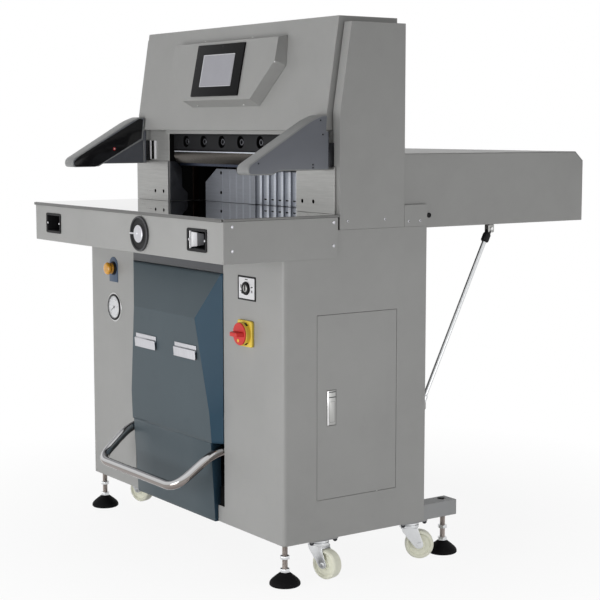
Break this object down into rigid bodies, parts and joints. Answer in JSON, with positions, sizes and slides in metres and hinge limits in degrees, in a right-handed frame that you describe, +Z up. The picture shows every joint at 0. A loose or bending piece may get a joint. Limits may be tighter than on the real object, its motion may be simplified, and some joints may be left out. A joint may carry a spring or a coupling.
{
  "type": "hydraulic paper cutter",
  "caption": "Floor-standing hydraulic paper cutter with a cutting table, knife and clamp between columns, back gauge, covered rear table, guard arms and a console.",
  "frame": {"origin": "on the floor, below the middle of the machine's extent", "axes": "+X to the operator's right, +Y from the operator to the rear table, +Z up"},
  "size_m": [1.0584, 1.187, 1.399],
  "materials": {
    "panel_paint": "satin textured powder coat, warm light grey",
    "blue_paint": "satin textured powder coat, slate blue",
    "arm_paint": "satin powder coat, bluish grey",
    "frame_paint": "satin paint, mid grey",
    "ground_steel": "ground and polished",
    "dark_steel": "blackened machined steel",
    "zinc_steel": "bright zinc plate",
    "chrome": "polished",
    "grip_aluminium": "brushed",
    "black_plastic": "matte black",
    "screen_bezel": "gloss black",
    "cream_nylon": "satin cream",
    "amber_plastic": "translucent amber",
    "red_plastic": "satin red",
    "yellow_plastic": "satin yellow"
  },
  "bodies": {
    "machine": {"levelling_foot_left_front": "dark_steel", "levelling_foot_left_rear": "dark_steel", "levelling_foot_right_front": "dark_steel", "levelling_foot_right_rear": "dark_steel", "base_frame": "frame_paint", "cabinet_shell": "panel_paint", "cabinet_rear_panel": "panel_paint", "front_cover": "blue_paint", "cover_grip_left": "grip_aluminium", "cover_grip_right": "grip_aluminium", "column_left": "frame_paint", "face_plate_left": "ground_steel", "column_right": "frame_paint", "face_plate_right": "ground_steel", "work_table": "ground_steel", "table_apron": "panel_paint", "switch_cup_left": "black_plastic", "switch_cup_right": "black_plastic", "pressure_gauge": "chrome", "main_switch_box": "yellow_plastic", "hood": "panel_paint", "hood_rear_panel": "panel_paint", "side_cover_left": "panel_paint", "side_cover_right": "panel_paint", "console_housing": "panel_paint", "touch_screen": "screen_bezel", "guard_arm_left": "arm_paint", "guard_arm_right": "arm_paint", "crosshead": "frame_paint", "knife_cylinder": "dark_steel", "rear_bed": "ground_steel", "rear_wall_left": "panel_paint", "rear_wall_right": "panel_paint", "rear_cover": "panel_paint", "rear_stay_left": "zinc_steel", "rear_stay_right": "zinc_steel", "hydraulic_unit": "frame_paint"},
    "side_door": {"side_door": "panel_paint"},
    "door_latch": {"door_latch": "chrome"},
    "foot_pedal": {"foot_pedal": "chrome"},
    "hand_wheel": {"hand_wheel": "black_plastic"},
    "cut_paddle_left": {"cut_paddle_left": "chrome"},
    "cut_paddle_right": {"cut_paddle_right": "chrome"},
    "amber_button": {"amber_button": "amber_plastic"},
    "selector_knob": {"selector_knob": "black_plastic"},
    "gauge_needle": {"gauge_needle": "black_plastic"},
    "main_switch_handle": {"main_switch_handle": "red_plastic"},
    "knife": {"knife_beam": "dark_steel", "knife_blade": "ground_steel"},
    "clamp_beam": {"clamp_beam": "dark_steel"},
    "back_gauge": {"back_gauge": "ground_steel"},
    "lead_screw": {"lead_screw": "dark_steel"},
    "caster_fork_left_front": {"caster_fork_left_front": "zinc_steel"},
    "caster_fork_left_rear": {"caster_fork_left_rear": "zinc_steel"},
    "caster_fork_right_front": {"caster_fork_right_front": "zinc_steel"},
    "caster_fork_right_rear": {"caster_fork_right_rear": "zinc_steel"},
    "caster_wheel_left_front": {"caster_wheel_left_front": "cream_nylon"},
    "caster_wheel_left_rear": {"caster_wheel_left_rear": "cream_nylon"},
    "caster_wheel_right_front": {"caster_wheel_right_front": "cream_nylon"},
    "caster_wheel_right_rear": {"caster_wheel_right_rear": "cream_nylon"}
  },
  "joints": [
    {"name": "knife_slide", "type": "slide", "parent": "machine", "child": "knife", "axis": [0.1736, 0, -0.9848], "range_m": [0, 0.112]},
    {"name": "clamp_slide", "type": "slide", "parent": "machine", "child": "clamp_beam", "axis": [0, 0, -1], "range_m": [0, 0.1025]},
    {"name": "back_gauge_slide", "type": "slide", "parent": "machine", "child": "back_gauge", "axis": [0, 1, 0], "range_m": [-0.025, 0.645]},
    {"name": "lead_screw_turn", "type": "hinge", "parent": "machine", "child": "lead_screw", "pos_m": [-0.01301, 0.11451, 0.89], "axis": [0, 1, 0], "range_deg": [-23225, 905]},
    {"name": "pedal_swing", "type": "hinge", "parent": "machine", "child": "foot_pedal", "pos_m": [-0.01901, -0.16549, 0.296], "axis": [1, 0, 0], "range_deg": [0, 18], "stiffness_Nm_per_rad": 15, "springref_deg": -57.3},
    {"name": "hand_wheel_turn", "type": "hinge", "parent": "machine", "child": "hand_wheel", "pos_m": [0.09699, -0.59049, 0.8585], "axis": [0, 1, 0], "continuous": true},
    {"name": "cut_paddle_left_press", "type": "hinge", "parent": "machine", "child": "cut_paddle_left", "pos_m": [-0.36681, -0.58299, 0.8595], "axis": [0, 0, -1], "range_deg": [0, 12], "stiffness_Nm_per_rad": 0.5, "springref_deg": -2.86},
    {"name": "cut_paddle_right_press", "type": "hinge", "parent": "machine", "child": "cut_paddle_right", "pos_m": [0.34079, -0.58299, 0.8595], "axis": [0, 0, 1], "range_deg": [0, 12], "stiffness_Nm_per_rad": 0.5, "springref_deg": -2.86},
    {"name": "amber_button_press", "type": "slide", "parent": "machine", "child": "amber_button", "axis": [0, 1, 0], "range_m": [0, 0.005], "stiffness_N_per_m": 400, "springref_m": -0.002},
    {"name": "selector_turn", "type": "hinge", "parent": "machine", "child": "selector_knob", "pos_m": [0.32799, -0.42049, 0.729], "axis": [0, 1, 0], "range_deg": [-45, 45]},
    {"name": "gauge_needle_turn", "type": "hinge", "parent": "machine", "child": "gauge_needle", "pos_m": [-0.37401, -0.41649, 0.613], "axis": [0, 1, 0], "range_deg": [0, 270], "stiffness_Nm_per_rad": 0.001},
    {"name": "main_switch_turn", "type": "hinge", "parent": "machine", "child": "main_switch_handle", "pos_m": [0.32799, -0.44549, 0.616], "axis": [0, 1, 0], "range_deg": [0, 90]},
    {"name": "side_door_swing", "type": "hinge", "parent": "machine", "child": "side_door", "pos_m": [0.49149, -0.06649, 0.438], "axis": [0, 0, 1], "range_deg": [0, 110]},
    {"name": "door_latch_lift", "type": "hinge", "parent": "side_door", "child": "door_latch", "pos_m": [0.48949, -0.27049, 0.478], "axis": [0, -1, 0], "range_deg": [0, 40], "stiffness_Nm_per_rad": 0.3},
    {"name": "caster_swivel_left_front", "type": "hinge", "parent": "machine", "child": "caster_fork_left_front", "pos_m": [-0.49021, -0.28949, 0.096], "axis": [0, 0, 1], "continuous": true},
    {"name": "caster_spin_left_front", "type": "hinge", "parent": "caster_fork_left_front", "child": "caster_wheel_left_front", "pos_m": [-0.46439, -0.28159, 0.0415], "axis": [-0.2924, 0.9563, 0], "continuous": true},
    {"name": "caster_swivel_left_rear", "type": "hinge", "parent": "machine", "child": "caster_fork_left_rear", "pos_m": [-0.49021, 0.00151, 0.096], "axis": [0, 0, 1], "continuous": true},
    {"name": "caster_spin_left_rear", "type": "hinge", "parent": "caster_fork_left_rear", "child": "caster_wheel_left_rear", "pos_m": [-0.48552, 0.0281, 0.0415], "axis": [-0.9848, 0.1736, 0], "continuous": true},
    {"name": "caster_swivel_right_front", "type": "hinge", "parent": "machine", "child": "caster_fork_right_front", "pos_m": [0.46419, -0.28949, 0.096], "axis": [0, 0, 1], "continuous": true},
    {"name": "caster_spin_right_front", "type": "hinge", "parent": "caster_fork_right_front", "child": "caster_wheel_right_front", "pos_m": [0.49027, -0.2825, 0.0415], "axis": [-0.2588, 0.9659, 0], "continuous": true},
    {"name": "caster_swivel_right_rear", "type": "hinge", "parent": "machine", "child": "caster_fork_right_rear", "pos_m": [0.46419, 0.00151, 0.096], "axis": [0, 0, 1], "continuous": true},
    {"name": "caster_spin_right_rear", "type": "hinge", "parent": "caster_fork_right_rear", "child": "caster_wheel_right_rear", "pos_m": [0.47968, 0.02363, 0.0415], "axis": [-0.8192, 0.5736, 0], "continuous": true}
  ],
  "couplings": [
    {"joint": "lead_screw_turn", "follows": "back_gauge_slide", "rad_per_m": -628.32}
  ]
}
